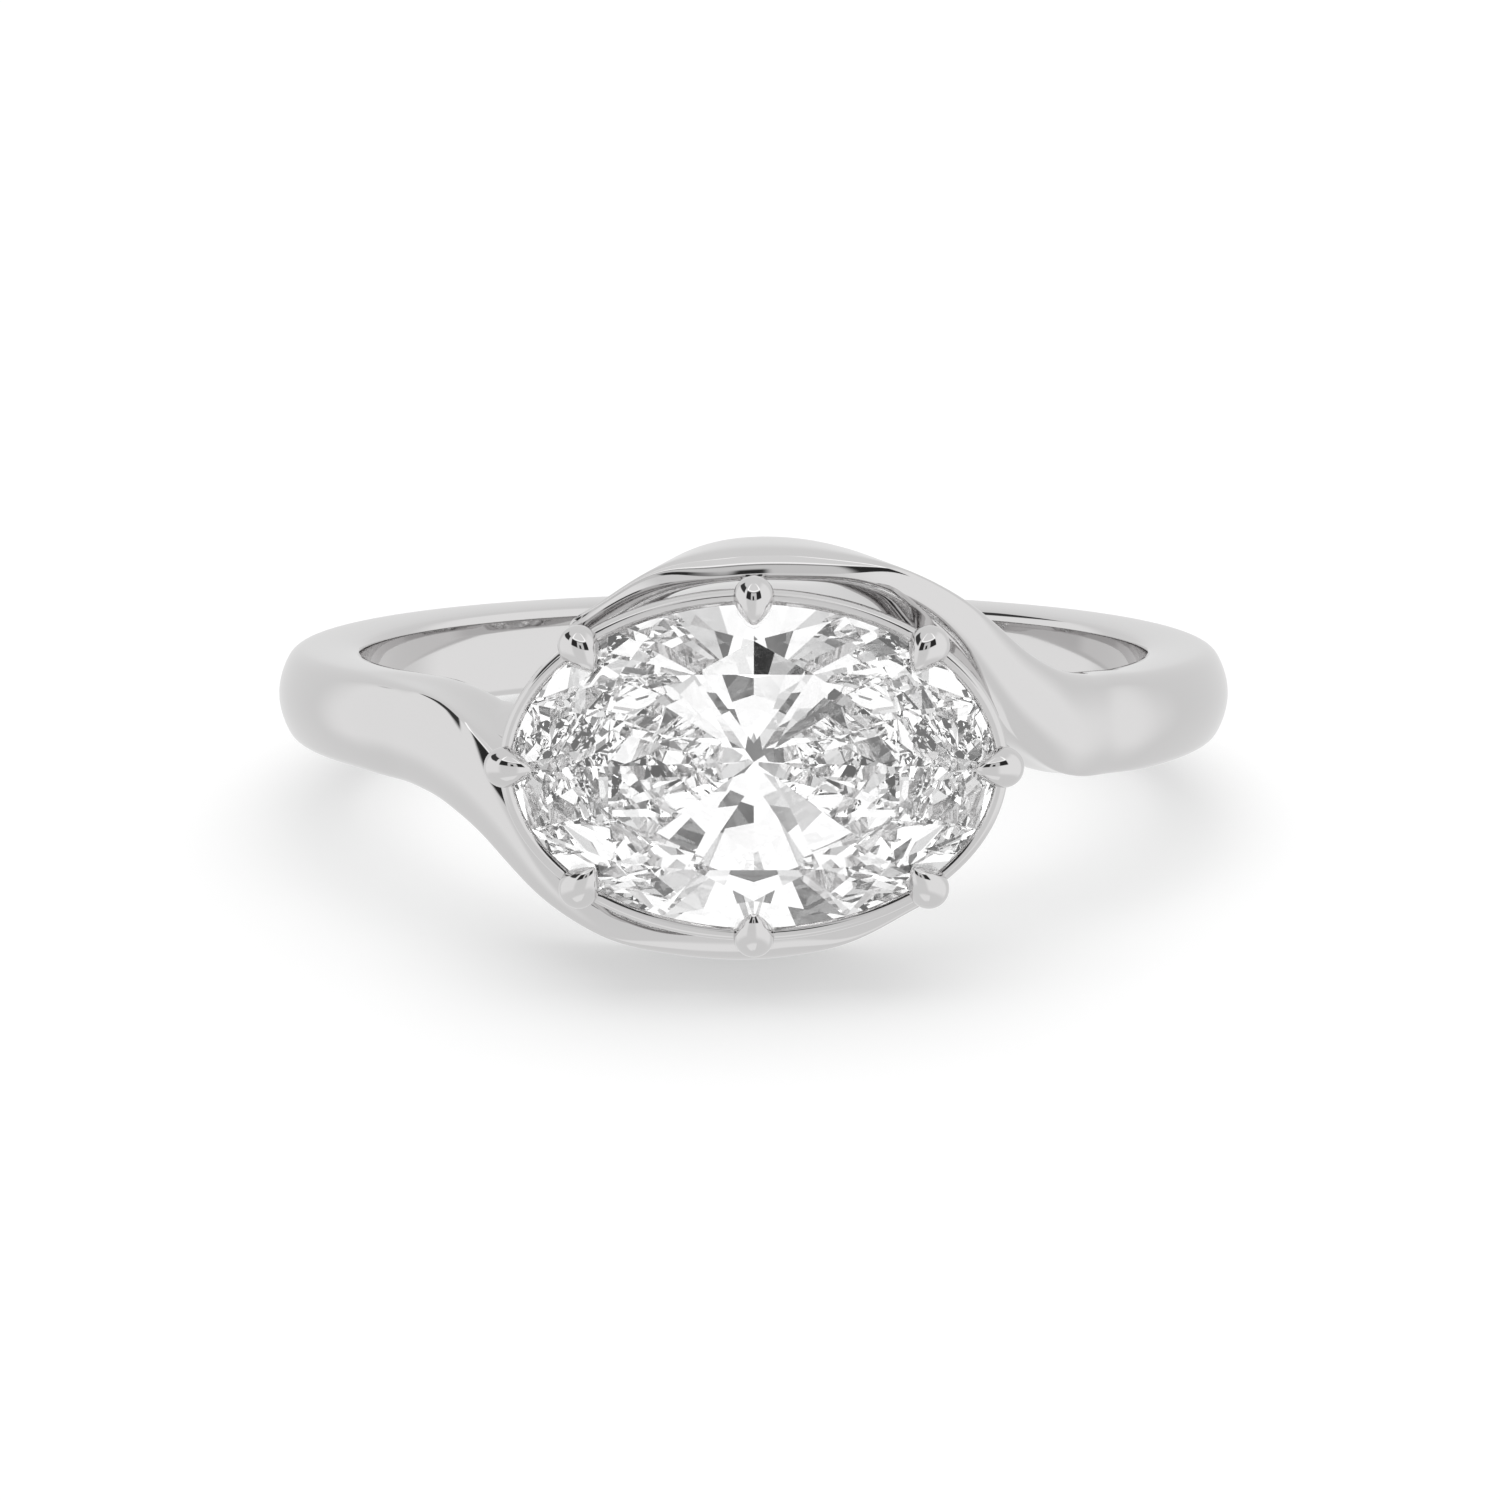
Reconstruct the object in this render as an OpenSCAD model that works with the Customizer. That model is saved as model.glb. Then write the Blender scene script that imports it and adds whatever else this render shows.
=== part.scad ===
// Claw-set ring: a bypass ring whose two arms sweep over and under an oval
// brilliant stone, held across the finger in a low basket with eight claws.
// Millimetres. The ring lies on its side on z = 0 with the stone towards -Y.
// Each module works in the ring's own frame: +Z along the finger, -Y to the
// stone, the origin at the centre of the finger hole. The last step lays it down.

/* [Finger hole] */
// Radius of the finger hole
finger_r = 8.5; // [8.1:0.1:9.1]
// Half the width of the straight wall inside the band
bore_half = 0.74; // [0.6:0.02:0.8]
// Radius of the rounded inner edges of the band
comfort_r = 0.28; // [0.15:0.01:0.3]

/* [Band] */
// Thickness of the band, from the finger hole to the outer face
band_t = 1.8; // [1.5:0.1:2.1]
// Half the width of the band at its back
band_half = 1.03; // [1.0:0.01:1.2]
// Slope of the crown at the edges of a wide face, in degrees
crown_edge = 30; // [24:1:32]
// How far the band's side faces draw in towards the finger
band_lean = 0.1; // [0:0.01:0.15]
// Radius of the outer corners of the band
band_corner = 0.5; // [0.3:0.01:0.55]

/* [Bypass arms] */
// Height of the arms' front faces above the outer face of the band
arm_rise = 0.8; // [0.5:0.05:1.0]
// Reach of each arm to the side of the stone's centre, along the finger
arm_reach = 4.24; // [4.1:0.02:4.4]
// Width of an arm's front face where it passes the stone
arm_face = 0.68; // [0.65:0.01:0.74]
// Angle at which each arm ends, past the stone's centre
arm_end = 18.5; // [17:0.5:20]

/* [Stone] */
// Length of the oval stone
stone_len = 9.6; // [9.2:0.1:9.8]
// Width of the oval stone
stone_wid = 6.5; // [6.2:0.1:6.6]
// Height of the crown, from girdle to table
crown_h = 0.85; // [0.75:0.05:1.1]
// Depth of the pavilion, from girdle to culet
pavilion_h = 2.9; // [2.6:0.05:2.95]
// Thickness of the girdle where it is thinnest
girdle_t = 0.1; // [0.05:0.01:0.15]
// Size of the table at its corners, as a part of the stone's size
table_part = 0.65; // [0.58:0.01:0.68]
// Distance of the girdle from the axis of the finger hole
girdle_y = 12.5; // [12.3:0.1:12.8]
// Play between the stone and the metal
seat_gap = 0.03; // [0.02:0.01:0.05]

/* [Basket] */
// Number of claws
claw_n = 8; // [6:2:8]
// Radius of a claw's bead
bead_r = 0.4; // [0.34:0.01:0.44]
// Reach of a claw's tip over the stone
tip_reach = 0.4; // [0.3:0.02:0.5]
// Width of the rail that shows outside the stone
rail_out = 0.28; // [0.2:0.01:0.34]
// Depth of the rail under the girdle
rail_h = 0.62; // [0.5:0.02:0.8]
// Distance of the lower rail's middle from the axis of the finger hole
gallery_y = 9.95; // [9.8:0.05:10.2]

/* [Hidden] */

outer_r = finger_r + band_t;
crest_r = outer_r + arm_rise;
// Radii of the blank inside the finger hole, where the hole cuts it away
core_r = finger_r - 0.3;
bridge_core = finger_r - 0.2;
half_len = stone_len / 2;
half_wid = stone_wid / 2;
// Angles between the strand's sections, at the head and round the band
head_step = 3;
band_step = 6;
// Angle at which an arm has become the band, and the angles it blends over
arm_foot = 48;
blend_from = 47.5;
blend_to = 57;
// Angles over which an arm's sides take on the band's lean and bulge
lean_from = 30;
lean_over = 14;
// How far outside their middle the side faces are widest, and how far the wall
// towards the stone bulges at an arm's foot
side_out = 0.2;
wall_bulge = 0.1;
// Slope of a crown at its edges for each millimetre of the face's width
crown_rate = 19;
// Slope at which a rounded lower edge meets the wall
crease_slope = 66;
// Angles at which the bridge under the stone ends, and between its sections
bridge_end = 46;
bridge_step = 5.75;
section_n = 16;
rail_n = 48;
// Sets the rails' corners off from the claws', as a part of one step
rail_shift = 0.3;
claw_sides = 10;

// One arm, from its tip to the angle at which it has become the plain band.
// Angles are about the finger from the stone's centre. Columns: angle, height
// of the outer side face, height of the front face's lower edge, heights of the
// outer and inner edges of the wall towards the stone, radius of the front face,
// radius next to the finger, radii of the front face's upper and lower corners.
ARM = [
    [-arm_end, 2.78, 2.20, 2.20, 2.10, crest_r + 1.05, finger_r + 1.9, 0.14, 0.12],
    [-14, 3.38, 2.74, 2.68, 2.30, crest_r + 0.50, finger_r + 0.6, 0.14, 0.16],
    [-10, 3.86, 3.18, 3.08, 2.60, crest_r + 0.08, core_r, 0.20, 0.20],
    [-5, arm_reach - 0.10, arm_reach - arm_face - 0.10, 3.38, 2.85, crest_r, core_r, 0.56, 0.12],
    [0, arm_reach, arm_reach - arm_face, 3.45, 2.90, crest_r, core_r, 0.58, 0.10],
    [5, arm_reach - 0.02, arm_reach - arm_face - 0.02, 3.40, 2.85, crest_r, core_r, 0.56, 0.12],
    [10, 4.09, 3.46, 3.20, 2.62, crest_r + 0.03, core_r, 0.44, 0.16],
    [15, 3.84, 3.10, 2.78, 2.22, crest_r + 0.05, core_r, 0.15, 0.24],
    [20, 3.42, 2.42, 1.45, 1.25, crest_r + 0.02, core_r, 0.18, 0.40],
    [24, 2.98, 1.50, 0.60, 0.45, crest_r, core_r, 0.24, 0.55],
    [28, 2.48, 0.36, 0.10, 0.05, crest_r - 0.08, core_r, 0.32, 0.45],
    [32, 1.93, -0.22, -0.14, -0.20, crest_r - 0.20, core_r, 0.38, 0.30],
    [36, 1.56, -0.66, -0.52, -0.52, crest_r - 0.32, core_r, 0.42, 0.20],
    [40, 1.32, -0.86, -0.78, -0.76, outer_r + 0.30, core_r, 0.46, 0.20],
    [44, 1.20, -0.96, -0.90, -0.88, outer_r + 0.14, core_r, 0.48, 0.28],
    [arm_foot, 1.12, -1.00, -0.95, -0.93, outer_r + 0.04, core_r, band_corner, 0.46]
];
A_TOP = 1;
A_CREASE = 2;
A_SHELF_OUT = 3;
A_SHELF_IN = 4;
A_CREST = 5;
A_INNER = 6;
A_CORNER = 7;
A_SOFT = 8;

// Half the width of the band by angle, from the arms' feet to the back
BAND = [
    [arm_foot, band_half + 0.04],
    [62, band_half],
    [90, band_half - 0.02],
    [130, band_half],
    [180, band_half]
];

// The bridge under the stone, which closes the band between the arms. Columns:
// angle, half its width next to the finger, half its width outside, its radius
BRIDGE = [
    [0, 0.55, 0.28, finger_r + 0.78],
    [20, 0.55, 0.28, finger_r + 0.86],
    [26, 0.55, 0.18, finger_r + 1.2],
    [30, 0.55, 0.12, outer_r - 0.35],
    [33, 0.56, 0.14, outer_r - 0.15],
    [36.5, 0.58, 0.36, outer_r - 0.1],
    [40, 0.64, 0.56, outer_r - 0.08],
    [46, 0.78, 0.60, outer_r - 0.25]
];

// A smooth value of one column of a table whose first column rises
function row_at(table, x, i = 0) =
    (i >= len(table) - 2 || x <= table[i + 1][0]) ? i : row_at(table, x, i + 1);
function slope_at(table, col, i) =
    (i == 0 || i == len(table) - 1) ? 0 :
    (table[i + 1][col] - table[i - 1][col]) / (table[i + 1][0] - table[i - 1][0]);
function value_at(table, col, x) =
    let (i = row_at(table, x),
         step = table[i + 1][0] - table[i][0],
         u = (x - table[i][0]) / step)
    (1 + 2 * u) * (1 - u) * (1 - u) * table[i][col]
    + u * (1 - u) * (1 - u) * step * slope_at(table, col, i)
    + u * u * (3 - 2 * u) * table[i + 1][col]
    + u * u * (u - 1) * step * slope_at(table, col, i + 1);

// A round corner as points [radius, height] from one angle to another
function corner(r, z, size, from, to, count = 4) =
    [for (k = [0:count - 1]) let (a = from + (to - from) * k / (count - 1))
        [r + size * cos(a), z + size * sin(a)]];

// Slope of a crowned face at its edges, between corners of two sizes
function face_slope(top, low, c_top, c_low) =
    min(crown_edge, crown_rate * (top - low - (c_top + c_low) / 2));

// How far the crown falls from its middle to its edges
function face_sag(top, low, c_top, c_low) =
    let (slope = face_slope(top, low, c_top, c_low))
    (top - low - (c_top + c_low) * (1 - sin(slope))) * tan(slope) / 4;

// Three points over a crowned face
function crowned(crest, top, low, c_top, c_low) =
    let (keep = 1 - sin(face_slope(top, low, c_top, c_low)),
         sag = face_sag(top, low, c_top, c_low),
         from = top - c_top * keep,
         to = low + c_low * keep,
         middle = (from + to) / 2)
    [[crest - sag / 4, (middle + from) / 2], [crest, middle], [crest - sag / 4, (middle + to) / 2]];

// Radius of a corner's centre, under a crown with a slope and a sag
function corner_r(crest, slope, sag, c) = crest - sag - c * cos(slope);

// Section of the plain band: 16 points [radius, height], the same above and below
band_slope = face_slope(band_half, -band_half, band_corner, band_corner);
band_sag = face_sag(band_half, -band_half, band_corner, band_corner);
function band_section(angle) =
    let (half = value_at(BAND, 1, max(angle, arm_foot)),
         c = band_corner,
         slope = face_slope(half, -half, c, c),
         r = corner_r(outer_r, slope, face_sag(half, -half, c, c), c))
    concat([[core_r, 0], [core_r, half - band_lean], [(core_r + r) / 2 + side_out, half]],
           corner(r, half - c, c, 90, slope),
           crowned(outer_r, half, -half, c, c),
           corner(r, c - half, c, -slope, -90),
           [[(core_r + r) / 2 + side_out, -half], [core_r, band_lean - half]]);

// Section of an arm: the same 16 points, with a front face that stands out past
// the wall towards the stone
function arm_section(angle) =
    let (top = value_at(ARM, A_TOP, angle),
         crease = value_at(ARM, A_CREASE, angle),
         shelf_out = value_at(ARM, A_SHELF_OUT, angle),
         shelf_in = value_at(ARM, A_SHELF_IN, angle),
         crest = value_at(ARM, A_CREST, angle),
         inner = value_at(ARM, A_INNER, angle),
         c = value_at(ARM, A_CORNER, angle),
         low = value_at(ARM, A_SOFT, angle),
         slope = face_slope(top, crease, c, low),
         sag = face_sag(top, crease, c, low),
         high_r = corner_r(crest, slope, sag, c),
         low_r = corner_r(crest, slope, sag, low),
         shelf_r = max(min(outer_r, (inner + 3 * high_r) / 4 + 0.1), (inner + high_r) / 2),
         full = min(max((angle - lean_from) / lean_over, 0), 1))
    concat([[inner, (top + shelf_in) / 2], [inner, top - band_lean * full],
            [(inner + high_r) / 2 + side_out * full, top]],
           corner(high_r, top - c, c, 90, slope),
           crowned(crest, top, crease, c, low),
           corner(low_r, crease + low, low, -slope, -crease_slope, 3),
           [[shelf_r, shelf_out],
            [(inner + shelf_r) / 2 + side_out * full,
             (shelf_in + shelf_out) / 2 - wall_bulge * full], [inner, shelf_in]]);

function mix(a, b, part) = [for (k = [0:len(a) - 1]) a[k] * (1 - part) + b[k] * part];

// The whole strand: an arm, the band and the other arm turned half round
function half_section(angle) =
    angle >= blend_to ? band_section(angle) :
    angle <= blend_from ? arm_section(angle) :
    let (part = (angle - blend_from) / (blend_to - blend_from))
    mix(arm_section(min(angle, arm_foot)), band_section(angle), part);
function strand_section(angle) =
    angle <= 180 ? half_section(angle) :
    let (s = half_section(360 - angle))
    [for (k = [0:section_n - 1]) let (p = s[(section_n - k) % section_n]) [p[0], -p[1]]];

// Bridge under the stone: the strip of band that runs on next to the finger
module bridge() {
    skin([for (a = [-bridge_end:bridge_step:bridge_end])
        let (inside = value_at(BRIDGE, 1, abs(a)),
             outside = value_at(BRIDGE, 2, abs(a)),
             r = value_at(BRIDGE, 3, abs(a)))
        [for (p = [[bridge_core, -inside], [finger_r + comfort_r, -inside], [r, -outside],
                   [r, outside], [finger_r + comfort_r, inside], [bridge_core, inside]])
            [p[0] * sin(a), -p[0] * cos(a), p[1]]]]);
}

// Angles of the strand's sections, from one arm's tip to the other's
half_angles = concat([for (a = [-arm_end:head_step:blend_to]) a],
                     [for (a = [60:band_step:179]) a]);
strand_angles = concat(half_angles, [180],
                       [for (k = [len(half_angles) - 1:-1:0]) 360 - half_angles[k]]);

// A closed skin through rings of points, with flat ends
function ring_faces(rings, n, closed) =
    [for (i = [0:rings - (closed ? 1 : 2)], k = [0:n - 1], t = [0, 1])
        let (a = i * n + k,
             b = i * n + (k + 1) % n,
             c = ((i + 1) % rings) * n + (k + 1) % n,
             d = ((i + 1) % rings) * n + k)
        t == 0 ? [a, b, c] : [a, c, d]];
function end_faces(rings, n) =
    [[for (k = [n - 1:-1:0]) k], [for (k = [0:n - 1]) (rings - 1) * n + k]];

module skin(rings, closed = false) {
    n = len(rings[0]);
    polyhedron(points = [for (ring = rings, p = ring) p],
               faces = concat(ring_faces(len(rings), n, closed),
                              closed ? [] : end_faces(len(rings), n)));
}

// Shank with both bypass arms, as one swept strand
module strand() {
    skin([for (k = [len(strand_angles) - 1:-1:0]) let (a = strand_angles[k])
        [for (p = strand_section(a)) [p[0] * sin(a), -p[0] * cos(a), p[1]]]]);
}

// Turns a shape drawn in the head's frame (x along the stone, y across it, z away
// from the finger) into the ring's frame
module at_head() {
    rotate([90, 0, 0]) children();
}

// A point outside the oval girdle by a distance, at an angle of the oval
function oval_normal(t) =
    let (n = [cos(t) / half_len, sin(t) / half_wid]) n / norm(n);
function oval_point(t, out, height) =
    let (n = oval_normal(t))
    [half_len * cos(t) + out * n[0], half_wid * sin(t) + out * n[1], height];

// An oval rail: the section is a list of [distance outside the girdle, height]
module oval_rail(section) {
    skin([for (i = [0:rail_n - 1])
        [for (j = [0:len(section) - 1]) let (t = -360 * (i + rail_shift + (j % 2) / 2) / rail_n)
            oval_point(t, section[j][0], section[j][1])]], closed = true);
}

// Section of the rail that carries the girdle, with a rounded outer edge.
// Columns: distance outside the girdle, height
SEAT = [
    [-0.32, girdle_y - rail_h],
    [-0.32, girdle_y - 0.46],
    [seat_gap + 0.01, girdle_y - 0.11],
    [seat_gap + 0.01, girdle_y - 0.02],
    [rail_out - 0.12, girdle_y + 0.02],
    [rail_out - 0.03, girdle_y - 0.05],
    [rail_out, girdle_y - 0.16],
    [rail_out, girdle_y - rail_h + 0.14],
    [rail_out - 0.10, girdle_y - rail_h]
];
module seat_rail() {
    oval_rail(SEAT);
}

// Lower rail of the basket, which joins the claws to the arms: a round wire
gallery_r = 0.36;
gallery_in = 0.43;
gallery_sides = 8;
module gallery_rail() {
    oval_rail([for (k = [0:gallery_sides - 1]) let (a = -360 * (k + 0.5) / gallery_sides)
        [gallery_r * cos(a) - gallery_in, gallery_y + gallery_r * sin(a)]]);
}

// Path of a claw, from the lower rail over the girdle: distance outside the
// girdle, height and radius
CLAW = [
    [-0.46, gallery_y - 0.1, 0.30],
    [-0.30, girdle_y - 1.4, 0.29],
    [0.02, girdle_y - 0.55, 0.31],
    [0.15, girdle_y - 0.18, 0.37],
    [0.17, girdle_y + 0.10, bead_r],
    [0.12, girdle_y + 0.32, bead_r * 0.82],
    [-0.04, girdle_y + 0.42, bead_r * 0.55],
    [-tip_reach, girdle_y + 0.38, 0.05]
];

// Direction of the path at one of its rows, in the plane of the claw
function claw_heading(i) =
    let (a = CLAW[max(i - 1, 0)],
         b = CLAW[min(i + 1, len(CLAW) - 1)],
         d = [b[0] - a[0], b[1] - a[1]])
    d / norm(d);

module claw(t) {
    n = oval_normal(t);
    side = [-n[1], n[0], 0];
    skin([for (i = [0:len(CLAW) - 1])
        let (c = oval_point(t, CLAW[i][0], CLAW[i][1]),
             h = claw_heading(i),
             across = [h[1] * n[0], h[1] * n[1], -h[0]])
        [for (k = [0:claw_sides - 1]) let (a = 360 * (k + (i % 2) / 2) / claw_sides)
            c + CLAW[i][2] * (cos(a) * across - sin(a) * side)]]);
}

// Oval brilliant in the head's frame, centred on its girdle. Its points are worked
// out on a round stone of radius 1 and stretched to the oval.
// Reach of the star facets' tips and of the lower halves' tips, as a part of the
// stone's size, and the number of steps along half a girdle facet
star_part = 0.80;
lower_part = 0.12;
girdle_n = 6;
// Angle between main facets, and heights of the table and the culet
turn = 360 / 8;
table_z = crown_h + girdle_t / 2;
culet_z = -pavilion_h - girdle_t / 2;
// Half the girdle's thickness at the main facets and at the half facets
main_drop = girdle_t / 2;
half_drop = girdle_t;

function round_point(r, a, z) = [r * cos(a), r * sin(a), z];

// Height at which a plane through three points passes over a place
function plane_z(p, q, s, x, y) =
    let (n = cross(q - p, s - p)) p[2] - (n[0] * (x - p[0]) + n[1] * (y - p[1])) / n[2];

// Height of the crown's and the pavilion's main facets, at a distance from the
// centre and an angle off the facet's middle
function kite_z(r, a_off) =
    table_z + (main_drop - table_z) * (r * cos(a_off) - table_part) / (1 - table_part);
function main_z(r, a_off) =
    culet_z + (-main_drop - culet_z) * r * cos(a_off);

// Girdle's edge along one half facet, above or below the girdle
function half_facet(upper) =
    let (flip = upper ? 1 : -1,
         tip_r = upper ? star_part : lower_part,
         tip = round_point(tip_r, 0, upper ? kite_z(tip_r, turn / 2) : main_z(tip_r, turn / 2)),
         end = round_point(1, turn / 2, flip * main_drop),
         mid = round_point(1, 0, flip * half_drop))
    [for (k = [0:girdle_n - 1]) let (b = turn / 2 * k / girdle_n)
        round_point(1, b, plane_z(tip, end, mid, cos(b), sin(b)))];

module oval_brilliant() {
    crown_tips = [for (i = [0:7])
        let (a = turn * i) round_point(star_part, a, kite_z(star_part, turn / 2))];
    lower_tips = [for (i = [0:7])
        let (a = turn * i) round_point(lower_part, a, main_z(lower_part, turn / 2))];
    corners = [for (i = [0:7]) round_point(table_part, turn * (i + 0.5), table_z)];
    rim = [for (i = [0:7], upper = [true, false], side = [1, -1], p = half_facet(upper))
        let (a = turn * i, q = [p[0], side * p[1]])
        [q[0] * cos(a) - q[1] * sin(a), q[0] * sin(a) + q[1] * cos(a), p[2]]];
    ends = [for (i = [0:7], flip = [1, -1]) round_point(1, turn * (i + 0.5), flip * main_drop)];
    points = concat(corners, crown_tips, lower_tips, rim, ends, [[0, 0, culet_z]]);
    hull() {
        polyhedron(points = [for (p = points) [p[0] * half_len, p[1] * half_wid, p[2]]],
                   faces = [for (i = [0:len(points) - 3]) [i, i + 1, i + 2]]);
    }
}

// The room that the stone takes up with the play round it, as plain oval cones.
// Columns: size as a part of the stone's, height above the girdle's middle
ROOM = [
    [0.02, culet_z],
    [lower_part, main_z(lower_part, turn / 2)],
    [1, -half_drop],
    [1, half_drop],
    [star_part, kite_z(star_part, turn / 2)],
    [table_part, table_z]
];
room_n = 36;
module stone_room() {
    grow = seat_gap + half_len * (1 / cos(180 / room_n) - 1);
    lift = [-1, -1, -1, 1, 1, 1] * seat_gap;
    skin([for (i = [0:len(ROOM) - 1])
        [for (k = [0:room_n - 1]) let (t = -360 * (k + 0.2 + (i % 2) / 2) / room_n)
            [(half_len * ROOM[i][0] + grow) * cos(t), (half_wid * ROOM[i][0] + grow) * sin(t),
             girdle_y + ROOM[i][1] + lift[i]]]]);
}

// Finger hole with its rounded edges, as the tool that cuts it
module finger_bore() {
    flare = [for (k = [0:4]) let (a = 22.5 * k)
        [finger_r + comfort_r * (1 - cos(a)), bore_half + comfort_r * sin(a)]];
    reach = arm_reach + 1;
    side = concat(flare, [[finger_r + comfort_r, reach], [0, reach]]);
    mirrored = [for (k = [len(side) - 1:-1:0]) [side[k][0], -side[k][1]]];
    rotate_extrude($fn = 96) polygon(concat(side, mirrored));
}

// The metal in one piece, before the finger hole is cut. The claws leave room for
// the stone.
module metal_blank() {
    union() {
        strand();
        bridge();
        at_head() {
            seat_rail();
            gallery_rail();
            difference() {
                for (i = [0:claw_n - 1]) claw(360 * i / claw_n);
                stone_room();
            }
        }
    }
}

// Lays the ring on its side. It touches the ground with the lower edge of the
// band's back and with the inner edge of the lower arm. Its box is centred.
back_edge = corner_r(outer_r, band_slope, band_sag, band_corner);
arm_edge = finger_r + comfort_r;
rest_tilt = atan((arm_reach - band_half) / (back_edge + arm_edge));
rest_roll = 0.5;
rest_place = [0, 1.6884, back_edge * sin(rest_tilt) + band_half * cos(rest_tilt)];
module lay_down() {
    translate(rest_place) rotate([0, rest_roll, 0]) rotate([-rest_tilt, 0, 0]) children();
}

module ring_mounting() {
    color("gainsboro") lay_down() difference() {
        resize([2 * outer_r, 0, 0]) metal_blank();
        finger_bore();
    }
}

module oval_stone() {
    color("white") lay_down() at_head() translate([0, 0, girdle_y]) oval_brilliant();
}

ring_mounting();
oval_stone();
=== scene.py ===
import bpy
import math
import numpy as np
from mathutils import Matrix


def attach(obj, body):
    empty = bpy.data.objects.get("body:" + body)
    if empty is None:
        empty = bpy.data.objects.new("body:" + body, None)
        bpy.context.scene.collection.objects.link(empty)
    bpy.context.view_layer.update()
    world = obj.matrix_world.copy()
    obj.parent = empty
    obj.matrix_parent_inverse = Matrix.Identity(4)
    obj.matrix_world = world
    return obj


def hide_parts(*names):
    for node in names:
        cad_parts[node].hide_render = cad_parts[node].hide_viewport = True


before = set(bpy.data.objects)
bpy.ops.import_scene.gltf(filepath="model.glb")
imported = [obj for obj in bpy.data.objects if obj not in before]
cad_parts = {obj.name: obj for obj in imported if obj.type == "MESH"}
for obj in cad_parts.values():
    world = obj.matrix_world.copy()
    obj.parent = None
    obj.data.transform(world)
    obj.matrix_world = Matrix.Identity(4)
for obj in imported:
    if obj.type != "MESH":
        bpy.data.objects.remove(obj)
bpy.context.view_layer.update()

# The metal is made here in mesh code, finer than the CAD solids it stands for. The stone is the CAD's own.
# Sizes in millimetres, the same named values as the CAD source
finger_r, bore_half, comfort_r = 8.5, 0.74, 0.28
band_t, band_half, crown_edge, band_lean, band_corner = 1.8, 1.03, 30, 0.1, 0.5
arm_rise, arm_reach, arm_face, arm_end = 0.8, 4.24, 0.68, 18.5
stone_len, stone_wid = 9.6, 6.5
crown_h, pavilion_h, girdle_t, table_part = 0.85, 2.9, 0.1, 0.65
girdle_y, seat_gap = 12.5, 0.03
rail_out, rail_h, gallery_y = 0.28, 0.62, 9.95
gallery_r, gallery_in = 0.36, 0.43
outer_r = finger_r + band_t
crest_r = outer_r + arm_rise
core_r = finger_r - 0.3
half_len, half_wid = stone_len / 2, stone_wid / 2
arm_foot, blend_from, blend_to = 48, 47.5, 57
lean_from, lean_over, side_out, wall_bulge = 30, 14, 0.2, 0.1
# Slope of a crown at its edges for each millimetre of the face's width
crown_rate = 19
# Slope at which a rounded lower edge meets the wall
crease_slope = 66

# One arm, from its tip to the angle at which it has become the plain band. Columns: angle, height of the
# outer side face, height of the front face's lower edge, heights of the outer and inner edges of the wall
# towards the stone, radius of the front face, radius next to the finger, radii of the two corners
ARM = np.array([
    [-arm_end, 2.78, 2.20, 2.20, 2.10, crest_r + 1.05, finger_r + 1.9, 0.14, 0.12],
    [-14, 3.38, 2.74, 2.68, 2.30, crest_r + 0.50, finger_r + 0.6, 0.14, 0.16],
    [-10, 3.86, 3.18, 3.08, 2.60, crest_r + 0.08, core_r, 0.20, 0.20],
    [-5, arm_reach - 0.10, arm_reach - arm_face - 0.10, 3.38, 2.85, crest_r, core_r, 0.56, 0.12],
    [0, arm_reach, arm_reach - arm_face, 3.45, 2.90, crest_r, core_r, 0.58, 0.10],
    [5, arm_reach - 0.02, arm_reach - arm_face - 0.02, 3.40, 2.85, crest_r, core_r, 0.56, 0.12],
    [10, 4.09, 3.46, 3.20, 2.62, crest_r + 0.03, core_r, 0.44, 0.16],
    [15, 3.84, 3.10, 2.78, 2.22, crest_r + 0.05, core_r, 0.15, 0.24],
    [20, 3.42, 2.42, 1.45, 1.25, crest_r + 0.02, core_r, 0.18, 0.40],
    [24, 2.98, 1.50, 0.60, 0.45, crest_r, core_r, 0.24, 0.55],
    [28, 2.48, 0.36, 0.10, 0.05, crest_r - 0.08, core_r, 0.32, 0.45],
    [32, 1.93, -0.22, -0.14, -0.20, crest_r - 0.20, core_r, 0.38, 0.30],
    [36, 1.56, -0.66, -0.52, -0.52, crest_r - 0.32, core_r, 0.42, 0.20],
    [40, 1.32, -0.86, -0.78, -0.76, outer_r + 0.30, core_r, 0.46, 0.20],
    [44, 1.20, -0.96, -0.90, -0.88, outer_r + 0.14, core_r, 0.48, 0.28],
    [arm_foot, 1.12, -1.00, -0.95, -0.93, outer_r + 0.04, core_r, band_corner, 0.46],
])
# The band. Columns: angle, half the width
BAND = np.array([[arm_foot, band_half + 0.04], [62, band_half], [90, band_half - 0.02],
                 [130, band_half], [180, band_half]])
# The bridge. Columns: angle, half the width inside and outside, radius of its outer face
BRIDGE = np.array([
    [0, 0.55, 0.28, finger_r + 0.78], [20, 0.55, 0.28, finger_r + 0.86],
    [26, 0.55, 0.18, finger_r + 1.2], [30, 0.55, 0.12, outer_r - 0.35],
    [33, 0.56, 0.14, outer_r - 0.15], [36.5, 0.58, 0.36, outer_r - 0.1],
    [40, 0.64, 0.56, outer_r - 0.08], [46, 0.78, 0.60, outer_r - 0.25],
])


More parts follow.
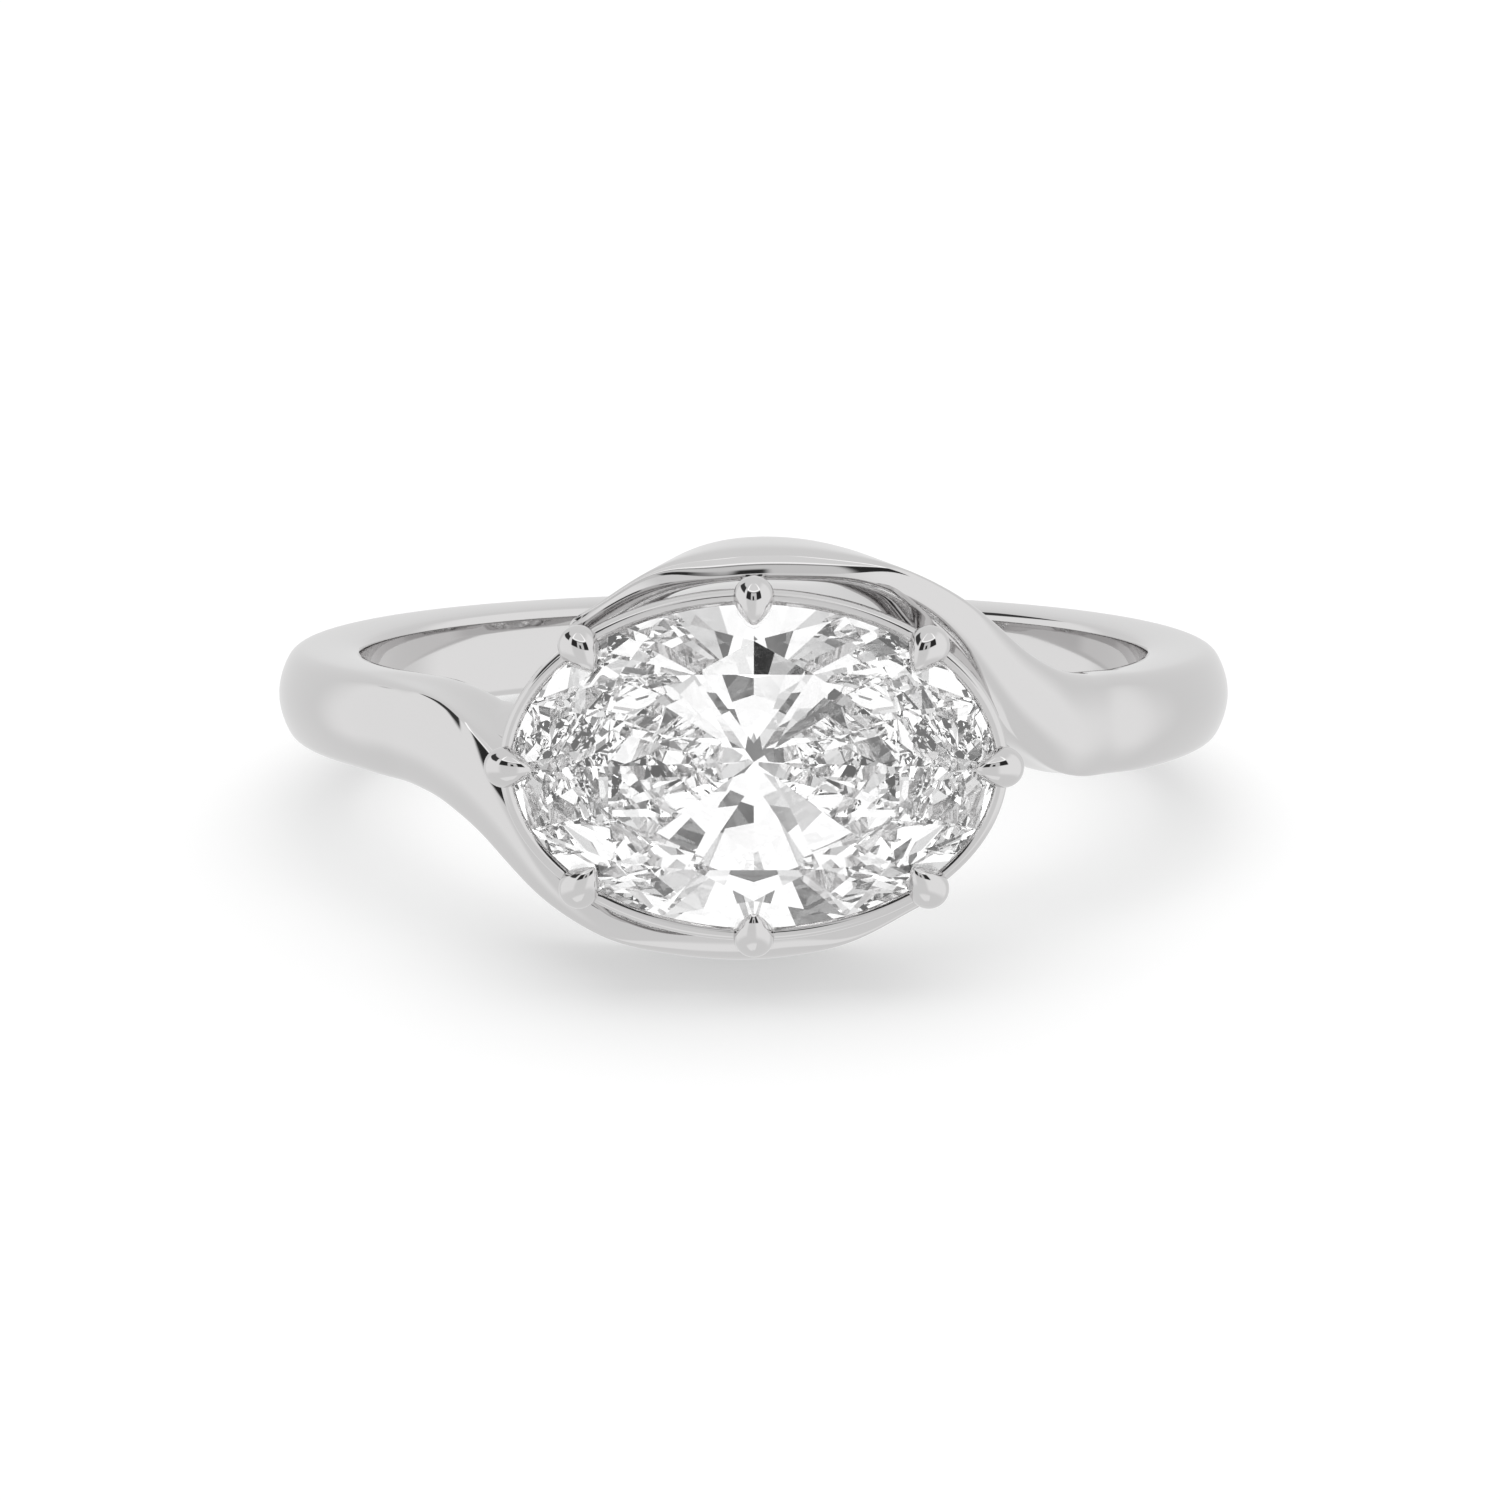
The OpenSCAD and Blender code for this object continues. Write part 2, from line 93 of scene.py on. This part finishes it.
def value_at(table, col, x):
    """A smooth value of one column of a table whose first column rises."""
    n = len(table)
    i = 0
    while i < n - 2 and x > table[i + 1][0]:
        i += 1

    def slope(k):
        if k in (0, n - 1):
            return 0.0
        return (table[k + 1][col] - table[k - 1][col]) / (table[k + 1][0] - table[k - 1][0])

    step = table[i + 1][0] - table[i][0]
    u = (x - table[i][0]) / step
    return ((1 + 2 * u) * (1 - u) ** 2 * table[i][col] + u * (1 - u) ** 2 * step * slope(i)
            + u * u * (3 - 2 * u) * table[i + 1][col] + u * u * (u - 1) * step * slope(i + 1))


def corner(r, z, size, start, end, count=4):
    """Points on a rounded corner, from one slope in degrees to another."""
    angles = [math.radians(start + (end - start) * k / (count - 1)) for k in range(count)]
    return [[r + size * math.cos(a), z + size * math.sin(a)] for a in angles]


def crowned(crest, high, low, high_corner, low_corner):
    """Points over a crowned face, its slope at the edges, and the radii of its corners' centres."""
    edge = min(crown_edge, crown_rate * (high - low - (high_corner + low_corner) / 2))
    sine = math.sin(math.radians(edge))
    cosine = math.cos(math.radians(edge))
    from_z = high - high_corner * (1 - sine)
    to_z = low + low_corner * (1 - sine)
    sag = (from_z - to_z) * sine / cosine / 4
    middle = (from_z + to_z) / 2
    points = [[crest - sag / 4, (middle + from_z) / 2],
              [crest, middle],
              [crest - sag / 4, (middle + to_z) / 2]]
    return points, edge, crest - sag - high_corner * cosine, crest - sag - low_corner * cosine


def band_section(angle):
    """The band's outline at an angle, as points [radius, height]."""
    half = value_at(BAND, 1, max(angle, arm_foot))
    c = band_corner
    points, edge, r, _ = crowned(outer_r, half, -half, c, c)
    middle = (core_r + r) / 2 + side_out
    return np.array([[core_r, 0], [core_r, half - band_lean], [middle, half]]
                    + corner(r, half - c, c, 90, edge) + points + corner(r, c - half, c, -edge, -90)
                    + [[middle, -half], [core_r, band_lean - half]])


def arm_section(angle):
    """An arm's outline at an angle, with as many points as the band's."""
    top, crease, shelf_out, shelf_in, crest, inner, c, low = [
        value_at(ARM, col, angle) for col in range(1, 9)]
    points, edge, high_r, low_r = crowned(crest, top, crease, c, low)
    shelf_r = max(min(outer_r, (inner + 3 * high_r) / 4 + 0.1), (inner + high_r) / 2)
    full = min(max((angle - lean_from) / lean_over, 0), 1)
    return np.array([[inner, (top + shelf_in) / 2], [inner, top - band_lean * full],
                     [(inner + high_r) / 2 + side_out * full, top]]
                    + corner(high_r, top - c, c, 90, edge) + points
                    + corner(low_r, crease + low, low, -edge, -crease_slope, 3)
                    + [[shelf_r, shelf_out],
                       [(inner + shelf_r) / 2 + side_out * full,
                        (shelf_in + shelf_out) / 2 - wall_bulge * full],
                       [inner, shelf_in]])


def strand_section(angle):
    """The outline all round: an arm, the band, and the other arm, turned half round."""
    if angle > 180:
        s = strand_section(360 - angle)
        n = len(s)
        return np.array([[s[-k % n][0], -s[-k % n][1]] for k in range(n)])
    if angle >= blend_to:
        return band_section(angle)
    if angle <= blend_from:
        return arm_section(angle)
    part = (angle - blend_from) / (blend_to - blend_from)
    return arm_section(min(angle, arm_foot)) * (1 - part) + band_section(angle) * part


def round_finger(section, angle):
    """Points [radius, height] at an angle about the finger, as points in the ring's frame."""
    a = math.radians(angle)
    s = np.asarray(section)
    return np.column_stack([s[:, 0] * math.sin(a), -s[:, 0] * math.cos(a), s[:, 1]])


# The pose the ring rests in, as the CAD source has it
back_edge = crowned(outer_r, band_half, -band_half, band_corner, band_corner)[2]
arm_edge = finger_r + comfort_r
rest_tilt = math.atan((arm_reach - band_half) / (back_edge + arm_edge))
rest_roll = math.radians(0.5)
rest_place = np.array([0, 1.6884,
                       back_edge * math.sin(rest_tilt) + band_half * math.cos(rest_tilt)])
TURN_X = np.array([[1, 0, 0], [0, math.cos(rest_tilt), math.sin(rest_tilt)],
                   [0, -math.sin(rest_tilt), math.cos(rest_tilt)]])
TURN_Y = np.array([[math.cos(rest_roll), 0, math.sin(rest_roll)], [0, 1, 0],
                   [-math.sin(rest_roll), 0, math.cos(rest_roll)]])
REST = TURN_Y @ TURN_X


def to_row(points):
    """Ring frame in millimetres to the row's frame in metres."""
    return (np.asarray(points) @ REST.T + rest_place) * 0.001


# Mesh helpers. Shapes are made in the ring's frame in millimetres and moved last.
def new_object(name, verts, faces):
    mesh = bpy.data.meshes.new(name)
    mesh.from_pydata([tuple(v) for v in verts], [], faces)
    mesh.validate()
    obj = bpy.data.objects.new(name, mesh)
    bpy.context.collection.objects.link(obj)
    return obj


def skin(name, rings, closed=False):
    """A closed skin through rings of points, with its normals turned outward."""
    n = len(rings[0])
    count = len(rings)
    verts = np.vstack(rings)
    faces = []
    for i in range(count if closed else count - 1):
        j = (i + 1) % count
        for k in range(n):
            m = (k + 1) % n
            faces.append((i * n + k, i * n + m, j * n + m, j * n + k))
    if not closed:
        faces.append(tuple(range(n - 1, -1, -1)))
        faces.append(tuple((count - 1) * n + k for k in range(n)))
    volume = 0.0
    for f in faces:
        for a in range(1, len(f) - 1):
            volume += np.dot(verts[f[0]], np.cross(verts[f[a]], verts[f[a + 1]]))
    if volume < 0:
        faces = [f[::-1] for f in faces]
    return new_object(name, verts, faces)


def baked(obj):
    """Puts an object's modifiers into its mesh."""
    graph = bpy.context.evaluated_depsgraph_get()
    mesh = bpy.data.meshes.new_from_object(obj.evaluated_get(graph))
    obj.modifiers.clear()
    old = obj.data
    obj.data = mesh
    bpy.data.meshes.remove(old)
    return obj


def boolean(obj, other, operation):
    """Joins another object to this one or cuts it away, and removes the other."""
    m = obj.modifiers.new("cut", "BOOLEAN")
    m.operation, m.solver, m.object = operation, "MANIFOLD", other
    baked(obj)
    bpy.data.objects.remove(other)
    return obj


def subdivided(obj, levels):
    m = obj.modifiers.new("round", "SUBSURF")
    m.levels = m.render_levels = levels
    m.boundary_smooth = "ALL"
    return baked(obj)


# Shank with both arms
half_angles = list(np.arange(-arm_end, blend_to, 2.5)) + list(np.arange(60, 179, 4.0))
angles = half_angles + [180.0] + [360 - a for a in half_angles[::-1]]
strand = skin("strand", [round_finger(strand_section(a), a) for a in angles])
subdivided(strand, 2)

# Bridge, an eight-cornered strip that is let into the shank at both ends
bridge_rings = []
bridge_end = 46
for a in np.arange(-bridge_end, bridge_end + 0.01, 1.0):
    inside, outside, r = [value_at(BRIDGE, col, abs(a)) for col in (1, 2, 3)]
    low = finger_r + comfort_r
    bridge_rings.append(round_finger([
        [core_r + 0.1, -inside], [low, -inside], [r - 0.05, -outside - 0.02], [r, -outside + 0.05],
        [r, outside - 0.05], [r - 0.05, outside + 0.02], [low, inside], [core_r + 0.1, inside]], a))
bridge = skin("bridge", bridge_rings)
metal = boolean(strand, bridge, "UNION")

# Finger hole, turned about the finger's axis
reach = arm_reach + 1
flare = [[finger_r + comfort_r * (1 - math.cos(t)), bore_half + comfort_r * math.sin(t)]
         for t in np.linspace(0, math.pi / 2, 9)]
profile = [[0.0, -reach], [finger_r + comfort_r, -reach]] + [[r, -z] for r, z in flare[::-1]]
profile += [[finger_r, z] for z in np.linspace(-bore_half, bore_half, 7)[1:-1]]
profile += flare + [[finger_r + comfort_r, reach], [0.0, reach]]
BORE_N = 360
# Sets the bore's corners off from the metal's, as a part of one step
BORE_SHIFT = 0.31
ring = [p for p in profile if p[0] > 0]
n = len(ring)
verts = np.vstack([round_finger(ring, 360 * (k + BORE_SHIFT) / BORE_N) for k in range(BORE_N)])
faces = []
for k in range(BORE_N):
    for i in range(n - 1):
        j = (k + 1) % BORE_N
        faces.append((k * n + i, j * n + i, j * n + i + 1, k * n + i + 1))
faces.append(tuple(k * n for k in range(BORE_N))[::-1])
faces.append(tuple(k * n + n - 1 for k in range(BORE_N)))
bore = new_object("bore", verts, faces)
boolean(metal, bore, "DIFFERENCE")


# Basket: x along the stone, y across it, z away from the finger
def at_head(points):
    p = np.asarray(points)
    return np.column_stack([p[:, 0], -p[:, 2], p[:, 1]])


def oval_normal(t):
    """The outward direction of the girdle's oval at a parameter."""
    v = np.array([math.cos(t) / half_len, math.sin(t) / half_wid])
    return v / np.linalg.norm(v)


def oval_points(t, section):
    """Points [out, height] set square to the girdle's oval."""
    nx, ny = oval_normal(t)
    return [[half_len * math.cos(t) + out * nx, half_wid * math.sin(t) + out * ny, z]
            for out, z in section]


def oval_rail(name, section):
    """A rail round the oval. Its corners are set off from the claws' by a part of one step."""
    return skin(name, [at_head(oval_points(2 * math.pi * (i + 0.3) / RAIL_N, section))
                       for i in range(RAIL_N)], closed=True)


RAIL_N = 160
# Seat rail as [out from the girdle, height above it]
SEAT = [
    [-0.32, -rail_h], [-0.32, -0.46], [-0.14, -0.285], [seat_gap + 0.005, -0.13],
    [seat_gap + 0.01, -0.06], [seat_gap + 0.012, -0.02], [seat_gap + 0.05, 0.005],
    [seat_gap + 0.09, 0.02], [rail_out - 0.12, 0.022], [rail_out - 0.07, 0.005],
    [rail_out - 0.03, -0.04], [rail_out - 0.005, -0.10], [rail_out, -0.18], [rail_out, -0.34],
    [rail_out, -rail_h + 0.16], [rail_out - 0.03, -rail_h + 0.05], [rail_out - 0.12, -rail_h],
    [-0.10, -rail_h],
]
seat = oval_rail("seat", [[o, girdle_y + z] for o, z in SEAT])
gallery = oval_rail("gallery", [
    [gallery_r * math.cos(a) - gallery_in, gallery_y + gallery_r * math.sin(a)]
    for a in np.linspace(0, 2 * math.pi, 25)[:-1]])

# One claw's wire. Columns: step, out from the girdle, height, radius
WIRE = np.array([[0.0, -0.46, gallery_y - 0.1, 0.30], [1.0, -0.30, girdle_y - 1.4, 0.29],
                 [2.0, 0.00, girdle_y - 0.55, 0.31], [3.0, 0.14, girdle_y - 0.10, 0.34]])
# A bead's axis bends over the stone: its middle, the bend and the tip, as [out, height]
AXIS = np.array([[0.17, girdle_y + 0.10], [-0.10, girdle_y + 0.40], [-0.41, girdle_y + 0.41]])
BEAD_R, TIP_R = 0.41, 0.03
CLAW_N = 8


def tube(name, centres, radii, t, sides=36, headings=None):
    """A round tube along points [out, height] in the upright plane of a claw."""
    nx, ny = oval_normal(t)
    rings = []
    for i, (c, r) in enumerate(zip(centres, radii)):
        a, b = np.array(centres[max(i - 1, 0)]), np.array(centres[min(i + 1, len(centres) - 1)])
        h = (b - a) / np.linalg.norm(b - a) if headings is None else headings[i]
        base = np.array([half_len * math.cos(t) + c[0] * nx,
                         half_wid * math.sin(t) + c[0] * ny, c[1]])
        across = np.array([h[1] * nx, h[1] * ny, -h[0]])
        side = np.array([-ny, nx, 0])
        rings.append(at_head([base + r * (math.cos(p) * across + math.sin(p) * side)
                              for p in np.linspace(0, 2 * math.pi, sides + 1)[:-1]]))
    return skin(name, rings)


def bead_rings():
    """A round back, then a cone that narrows to the tip along the bent axis."""
    steps = np.linspace(0, 1, 15)
    curve = np.array([(1 - u) ** 2 * AXIS[0] + 2 * u * (1 - u) * AXIS[1] + u * u * AXIS[2]
                      for u in steps])
    along = np.gradient(curve, axis=0)
    along /= np.linalg.norm(along, axis=1)[:, None]
    centres, radii, headings = [], [], []
    for a in np.linspace(0.08, math.pi / 2, 10)[:-1]:
        centres.append(curve[0] - BEAD_R * math.cos(a) * along[0])
        radii.append(BEAD_R * math.sin(a))
        headings.append(along[0])
    for u, c, h in zip(steps, curve, along):
        centres.append(c)
        radii.append(TIP_R + (BEAD_R - TIP_R) * (1 - u ** 1.7))
        headings.append(h)
    centres.append(curve[-1] + 0.02 * along[-1])
    radii.append(0.008)
    headings.append(along[-1])
    return centres, radii, headings


claws = None
bead_centres, bead_radii, bead_headings = bead_rings()
wire_steps = np.linspace(0, 3, 19)
wire_centres = [(value_at(WIRE, 1, s), value_at(WIRE, 2, s)) for s in wire_steps]
wire_radii = [value_at(WIRE, 3, s) for s in wire_steps]
for i in range(CLAW_N):
    t = 2 * math.pi * i / CLAW_N
    wire = tube(f"wire{i}", wire_centres, wire_radii, t)
    bead = tube(f"bead{i}", bead_centres, bead_radii, t, 48, bead_headings)
    boolean(wire, bead, "UNION")
    claws = wire if claws is None else boolean(claws, wire, "UNION")

# The stone's room, taken out of the claws. Parts are of the girdle's size.
turn = math.pi / 4
table_z, culet_z = crown_h + girdle_t / 2, -pavilion_h - girdle_t / 2
star_part, lower_part = 0.80, 0.12


def kite_z(r, off):
    """Height of a main crown facet at a part of the stone's size, off its middle line."""
    return table_z + (girdle_t / 2 - table_z) * (r * math.cos(off) - table_part) / (1 - table_part)


def main_z(r, off):
    """Height of a main pavilion facet, in the same way."""
    return culet_z + (-girdle_t / 2 - culet_z) * r * math.cos(off)


ROOM = [[0.02, culet_z], [lower_part, main_z(lower_part, turn / 2)], [1, -girdle_t], [1, girdle_t],
        [star_part, kite_z(star_part, turn / 2)], [table_part, table_z]]
room_rings = []
for (part, z), lift in zip(ROOM, (-1, -1, -1, 1, 1, 1)):
    room_rings.append(at_head([[(half_len * part + seat_gap) * math.cos(a),
                                (half_wid * part + seat_gap) * math.sin(a),
                                girdle_y + z + lift * seat_gap]
                               for a in np.linspace(0, 2 * math.pi, 121)[:-1] + 0.01]))
boolean(claws, skin("room", room_rings), "DIFFERENCE")
boolean(metal, seat, "UNION")
boolean(metal, gallery, "UNION")
boolean(metal, claws, "UNION")

# Into the row's frame, in metres, with crisp edges only where the surface turns sharply
ring_metal = metal
ring_metal.name = "polished_mounting"
mesh = ring_metal.data
co = np.empty(len(mesh.vertices) * 3)
mesh.vertices.foreach_get("co", co)
mesh.vertices.foreach_set("co", to_row(co.reshape(-1, 3)).ravel())
mesh.shade_smooth()
mesh.set_sharp_from_angle(angle=math.radians(32))
mesh.update()


# Materials
def material(name):
    mat = bpy.data.materials.new(name)
    mat.use_nodes = True
    tree = mat.node_tree
    return mat, tree, tree.nodes["Principled BSDF"]


# Polished metal, a little less sharp in places
gold, tree, shader = material("polished_white_gold")
shader.inputs["Base Color"].default_value = (0.694, 0.687, 0.687, 1)
shader.inputs["Metallic"].default_value = 1.0
noise = tree.nodes.new("ShaderNodeTexNoise")
noise.inputs["Scale"].default_value = 900.0
noise.inputs["Detail"].default_value = 4.0
coords = tree.nodes.new("ShaderNodeTexCoord")
spread = tree.nodes.new("ShaderNodeMapRange")
spread.inputs["To Min"].default_value = 0.02
spread.inputs["To Max"].default_value = 0.06
tree.links.new(coords.outputs["Object"], noise.inputs["Vector"])
tree.links.new(noise.outputs["Fac"], spread.inputs["Value"])
tree.links.new(spread.outputs["Result"], shader.inputs["Roughness"])
mesh.materials.clear()
mesh.materials.append(gold)

# Clear stone, with a very slight change of tint from place to place
diamond, tree, shader = material("cut_diamond")
shader.inputs["Roughness"].default_value = 0.0
shader.inputs["IOR"].default_value = 2.42
shader.inputs["Transmission Weight"].default_value = 1.0
water = tree.nodes.new("ShaderNodeTexNoise")
water.inputs["Scale"].default_value = 600.0
water.inputs["Detail"].default_value = 2.0
coords = tree.nodes.new("ShaderNodeTexCoord")
spread = tree.nodes.new("ShaderNodeMapRange")
spread.inputs["To Min"].default_value = 0.985
spread.inputs["To Max"].default_value = 1.0
tree.links.new(coords.outputs["Object"], water.inputs["Vector"])
tree.links.new(water.outputs["Fac"], spread.inputs["Value"])
tree.links.new(spread.outputs["Result"], shader.inputs["Base Color"])
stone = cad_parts["oval_stone"]
for s in stone.material_slots:
    s.material = diamond

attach(ring_metal, "root")
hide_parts("ring_mounting")

# Pale floor, which glows a little, so the shadow on it stays soft
floor = new_object("floor", [[-3, -3, 0], [3, -3, 0], [3, 3, 0], [-3, 3, 0]], [(0, 1, 2, 3)])
paper, tree, shader = material("pale_floor")
shader.inputs["Base Color"].default_value = (0.45, 0.45, 0.45, 1)
shader.inputs["Emission Color"].default_value = (1, 1, 1, 1)
shader.inputs["Emission Strength"].default_value = 0.56
shader.inputs["Roughness"].default_value = 0.9
shader.inputs["Specular IOR Level"].default_value = 0.2
floor.data.materials.append(paper)
floor.visible_glossy = False
floor.visible_transmission = False

# Camera at the photograph's place, fitted in the ring's frame
dist, view_up = 150.0, math.radians(7.6)
fwd = np.array([0, math.cos(view_up), -math.sin(view_up)])
up = np.array([0, math.sin(view_up), math.cos(view_up)])
right = np.array([1.0, 0, 0])
left_of, below = 0.076, 1.324
place = -dist * fwd - left_of * right - below * up
# Focal length in pixels of the 1500 pixel frame
focal_px, frame_px = 6909.0, 1500
cam_data = bpy.data.cameras.new("camera")
cam_data.sensor_width = 36.0
cam_data.lens = focal_px / frame_px * 36
cam_data.clip_start, cam_data.clip_end = 0.01, 20
cam = bpy.data.objects.new("camera", cam_data)
bpy.context.collection.objects.link(cam)
m = Matrix.Identity(4)
for k, axis in enumerate((REST @ right, REST @ up, -(REST @ fwd))):
    for i in range(3):
        m[i][k] = axis[i]
for i in range(3):
    m[i][3] = to_row([place])[0][i]
cam.matrix_world = m
bpy.context.scene.camera = cam

# Soft studio light: a pale sky of directions, square to the ring, with bright and dark panels in it
scene = bpy.context.scene
scene.view_settings.view_transform = "Standard"
scene.cycles.max_bounces = 28
scene.cycles.glossy_bounces = 24
scene.cycles.transmission_bounces = 24
scene.cycles.diffuse_bounces = 2
scene.cycles.caustics_reflective = False
scene.cycles.caustics_refractive = False
world = bpy.data.worlds.new("studio")
scene.world = world
world.use_nodes = True
sky = world.node_tree
background = sky.nodes["Background"]
background.inputs["Color"].default_value = (1, 1, 1, 1)

# Brightness of the plain sky by height in degrees above the ring's middle plane
SKY = [[-90, 0.82], [-20, 0.83], [0, 0.82], [40, 0.84], [90, 0.85]]
# Panels: side to side centre, half width, height centre, half height, soft edge, brightness
PANELS = [
    [-87, 38, 14, 34, 8, 1.0],
    [67, 50, 12, 44, 10, 1.02],
    [-20, 46, -66, 14, 5, 1.01],
    [-96, 28, 43, 10, 2, 0.05],
    [0, 52, 36, 14, 2, 0.03],
    [0, 20, 34, 12, 2, 0.75],
    [-3, 6, 29, 7, 2, 0.03],
    [0, 54, 65, 16, 3, 1.5],
    [0, 46, 68, 15, 3, 0.9],
]
# What light that has passed through the stone meets: a whiter sky with dark flags
STONE_SKY = 1.2
STONE_PANELS = [
    [180, 50, 0, 90, 3, 0.6],
    [-32, 14, -10, 30, 1, 0.7],
    [75, 12, 20, 30, 1, 0.65],
    [-62, 5, 5, 45, 1, 0.06],
    [50, 5, -5, 40, 1, 0.06],
    [100, 7, 10, 40, 1, 0.1],
    [-108, 7, 0, 40, 1, 0.1],
    [0, 60, 58, 4, 1, 0.2],
    [0, 70, -38, 4, 1, 0.15],
    [12, 14, 12, 22, 1, 0.04],
    [-14, 5, -4, 14, 1, 0.04],
]


def math_node(kind, *values):
    """One step of arithmetic on numbers or sockets."""
    node = sky.nodes.new("ShaderNodeMath")
    node.operation = kind
    for k, value in enumerate(values):
        if isinstance(value, (int, float)):
            node.inputs[k].default_value = value
        else:
            sky.links.new(value, node.inputs[k])
    return node.outputs[0]


def soft_step(value, start, end, low=0.0, high=1.0):
    """A smooth change from low to high while the value goes from start to end."""
    node = sky.nodes.new("ShaderNodeMapRange")
    node.interpolation_type = "SMOOTHSTEP"
    sky.links.new(value, node.inputs["Value"])
    for name, number in (("From Min", start), ("From Max", end), ("To Min", low), ("To Max", high)):
        node.inputs[name].default_value = number
    return node.outputs["Result"]


def with_panels(light, panels):
    """Lays soft-edged panels over a brightness, each named by its place in degrees."""
    for centre, half_width, middle, half_height, soft, bright in panels:
        turned = math_node("ABSOLUTE", math_node("SUBTRACT", sideways, float(centre)))
        off_side = math_node("MINIMUM", turned, math_node("SUBTRACT", 360.0, turned))
        off_height = math_node("ABSOLUTE", math_node("SUBTRACT", height, float(middle)))
        inside = math_node(
            "MULTIPLY", soft_step(off_side, half_width - soft, half_width + soft, 1.0, 0.0),
            soft_step(off_height, half_height - soft, half_height + soft, 1.0, 0.0))
        kept = math_node("MULTIPLY", light, math_node("SUBTRACT", 1.0, inside))
        light = math_node("ADD", kept, math_node("MULTIPLY", inside, float(bright)))
    return light


# Directions of the sky, in degrees about the ring, which lies tilted on the floor
direction = sky.nodes.new("ShaderNodeTexCoord")
level = sky.nodes.new("ShaderNodeVectorRotate")
level.rotation_type = "X_AXIS"
level.inputs["Angle"].default_value = rest_tilt
sky.links.new(direction.outputs["Generated"], level.inputs["Vector"])
parts = sky.nodes.new("ShaderNodeSeparateXYZ")
sky.links.new(level.outputs["Vector"], parts.inputs["Vector"])
sideways = math_node("DEGREES", math_node("ARCTAN2", parts.outputs["X"],
                                          math_node("MULTIPLY", parts.outputs["Y"], -1.0)))
height = math_node("DEGREES", math_node("ARCSINE", parts.outputs["Z"]))
around = math_node("ADD", SKY[0][1], 0.0)
for low, high in zip(SKY, SKY[1:]):
    around = math_node("ADD", around, soft_step(height, low[0], high[0], 0.0, high[1] - low[1]))
on_metal = with_panels(around, PANELS)
in_stone = with_panels(math_node("ADD", STONE_SKY, 0.0), STONE_PANELS)
path = sky.nodes.new("ShaderNodeLightPath")
stone_light = sky.nodes.new("ShaderNodeBackground")
stone_light.inputs["Color"].default_value = (1, 1, 1, 1)
either = sky.nodes.new("ShaderNodeMixShader")
sky.links.new(on_metal, background.inputs["Strength"])
sky.links.new(in_stone, stone_light.inputs["Strength"])
sky.links.new(path.outputs["Is Transmission Ray"], either.inputs["Fac"])
sky.links.new(background.outputs["Background"], either.inputs[1])
sky.links.new(stone_light.outputs["Background"], either.inputs[2])
sky.links.new(either.outputs["Shader"], sky.nodes["World Output"].inputs["Surface"])


def panel(name, place, size, power, target=(0, 0, 0.004)):
    """A soft lamp that faces the ring and isn't mirrored in it."""
    lamp = bpy.data.lights.new(name, "AREA")
    lamp.shape = "RECTANGLE"
    lamp.size, lamp.size_y = size
    lamp.energy = power
    obj = bpy.data.objects.new(name, lamp)
    bpy.context.collection.objects.link(obj)
    away = np.array(place) - np.array(target)
    z = away / np.linalg.norm(away)
    x = np.cross([0, 0, 1.0], z) if abs(z[2]) < 0.99 else np.array([1.0, 0, 0])
    x = x / np.linalg.norm(x)
    y = np.cross(z, x)
    w = Matrix.Identity(4)
    for k, axis in enumerate((x, y, z)):
        for i in range(3):
            w[i][k] = axis[i]
    for i in range(3):
        w[i][3] = place[i]
    obj.matrix_world = w
    obj.visible_glossy = False
    return obj


panel("top_panel", (0.0, 0.02, 0.25), (0.3, 0.3), 0.3)
